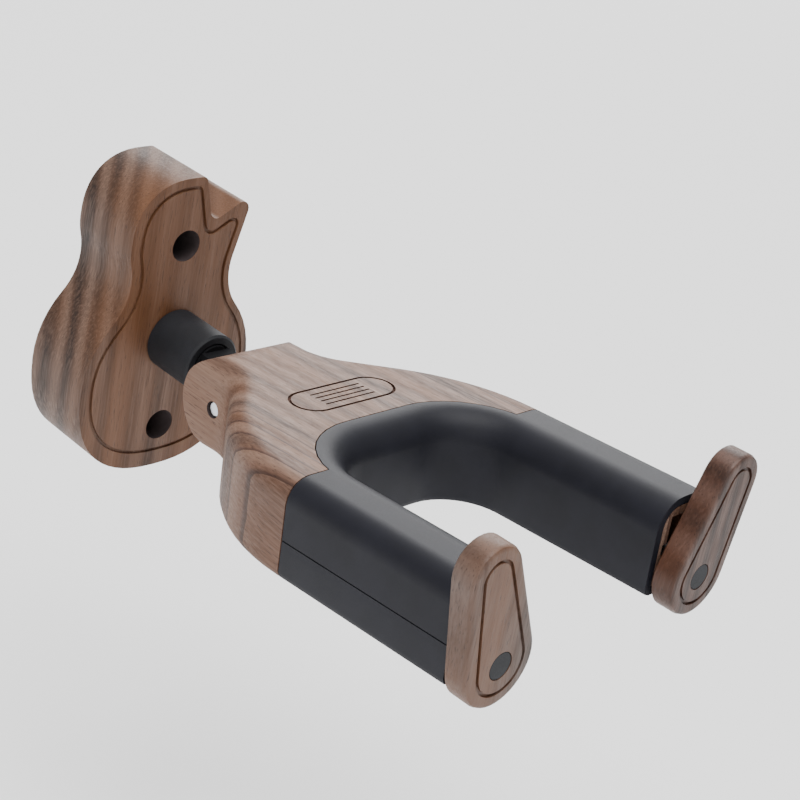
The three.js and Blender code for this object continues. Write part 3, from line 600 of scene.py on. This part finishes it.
def paint_pin_hole_shade(piece):
    """Painted shade: near-black wall in the hole that shows the pin's end, where shade falls."""
    slot = add_look(piece, "painted_hole_shade")
    reach = max(abs(PIN_BOX[0].x), abs(PIN_BOX[1].x)) + PIN_HOLE_DEPTH
    for face in piece.data.polygons:
        middle = face.center
        near = math.hypot(middle.y - PIN.y, middle.z - PIN.z) < PIN_HOLE_R
        if near and abs(face.normal.x) < WALL_LEAN and abs(middle.x) < reach:
            face.material_index = slot


def make_fork():
    piece = welded("fork_body", "fork_wood")
    add_look(piece, "fork_walnut")
    engrave(piece)
    paint_pin_hole_shade(piece)
    stand_in(smoothed(piece), "fork_body")


# ---------------------------------------------------------------- sleeve

ARM_SIDE = reach_of("fork_sleeve", ACROSS)
PARTING_Z = -1.8                # parting line of the rubber moulding, on the arms' outer sides
PARTING_HALF = 0.15
PARTING_DEPTH = 0.35
PARTING_ENDS = (60, 116)


def make_sleeve():
    piece = welded("fork_sleeve", "sleeve_rubber")
    add_look(piece, "rubber")
    rear, front = PARTING_ENDS
    bottom, top = PARTING_Z - PARTING_HALF, PARTING_Z + PARTING_HALF
    for side in (-1, 1):
        low, high = sorted((side * (ARM_SIDE - PARTING_DEPTH), side * (ARM_SIDE + OVER)))
        strip = [(low, rear), (high, rear), (high, front), (low, front)]
        cut_by(piece, prism_cutter("parting", [strip], bottom, top, "rubber"))
    stand_in(smoothed(piece), "fork_sleeve")


# ---------------------------------------------------------------- base

MOUNTS = frame["record"]["mounts"]
SCREW_HOLES = [Vector(m["pos_m"]) for m in MOUNTS if m["name"].endswith("screw_seat")]
SCREW_HOLE_R = 4.75 * MM        # just past the holes' walls
BASE_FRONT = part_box("wall_base")[0]
HOLE_LIP = 0.35 * MM            # the rim keeps the wood's own look
BASE_EDGE = 0.25


def paint_screw_hole_shade(piece):
    """Painted shade: near-black walls and floors inside the two screw holes, where shade falls."""
    front = BASE_FRONT.y + HOLE_LIP
    slot = add_look(piece, "painted_hole_shade")
    for face in piece.data.polygons:
        middle = face.center
        for seat in SCREW_HOLES:
            if math.hypot(middle.x, middle.z - seat.z) < SCREW_HOLE_R and middle.y > front:
                face.material_index = slot


def make_base():
    piece = welded("wall_base", "base_wood")
    add_look(piece, "base_walnut")
    break_edges(piece, BASE_EDGE)
    paint_screw_hole_shade(piece)
    stand_in(smoothed(piece), "wall_base")


# ---------------------------------------------------------------- the other pieces

# CAD node, the piece that stands for it, its look, its slot, and how far its edges are broken
PLAIN_PIECES = [
    ("post_cover", "post_shell", "black_coating", "post_black", 0.2),
    # the tongue's look is a darker copy of the post's black: painted shade
    ("tilt_tongue", "tongue_bar", "shaded_post_black", "post_black", 0.25),
    ("tilt_pin", "pin_bar", "steel", "steel", 0.3),
    ("left_gate", "left_gate_wood", "left_gate_walnut", "walnut", 0.12),
    ("left_gate_plug", "left_gate_cap", "grey_plug", "plug_grey", 0.2),
    ("right_gate", "right_gate_wood", "right_gate_walnut", "walnut", 0.12),
    ("right_gate_plug", "right_gate_cap", "grey_plug", "plug_grey", 0.2),
]

SLOT_LOOKS = {
    "walnut": "base_walnut",
    "post_black": "black_coating",
    "nylon": "nylon",
    "sleeve_rubber": "rubber",
    "steel": "steel",
    "spring_brass": "brass_wire",
    "plug_grey": "grey_plug",
}


def make_plain(node_name, piece_name, look, slot, edge):
    piece = welded(node_name, piece_name)
    add_look(piece, look)
    break_edges(piece, edge)
    stand_in(smoothed(piece), node_name)


def dress_nodes():
    """Every CAD node gets its slot's material."""
    for entry in frame["record"]["subparts"]:
        data = NODES[entry["node"]].data
        data.materials.clear()
        data.materials.append(LOOKS[SLOT_LOOKS[entry["material_slot"]]])


low, high = (Vector(corner) for corner in cad_box)
make_camera()
make_lights((low + high) / 2)
make_floor(low.z)
dress_nodes()
make_fork()
make_sleeve()
make_base()
for facts in PLAIN_PIECES:
    make_plain(*facts)
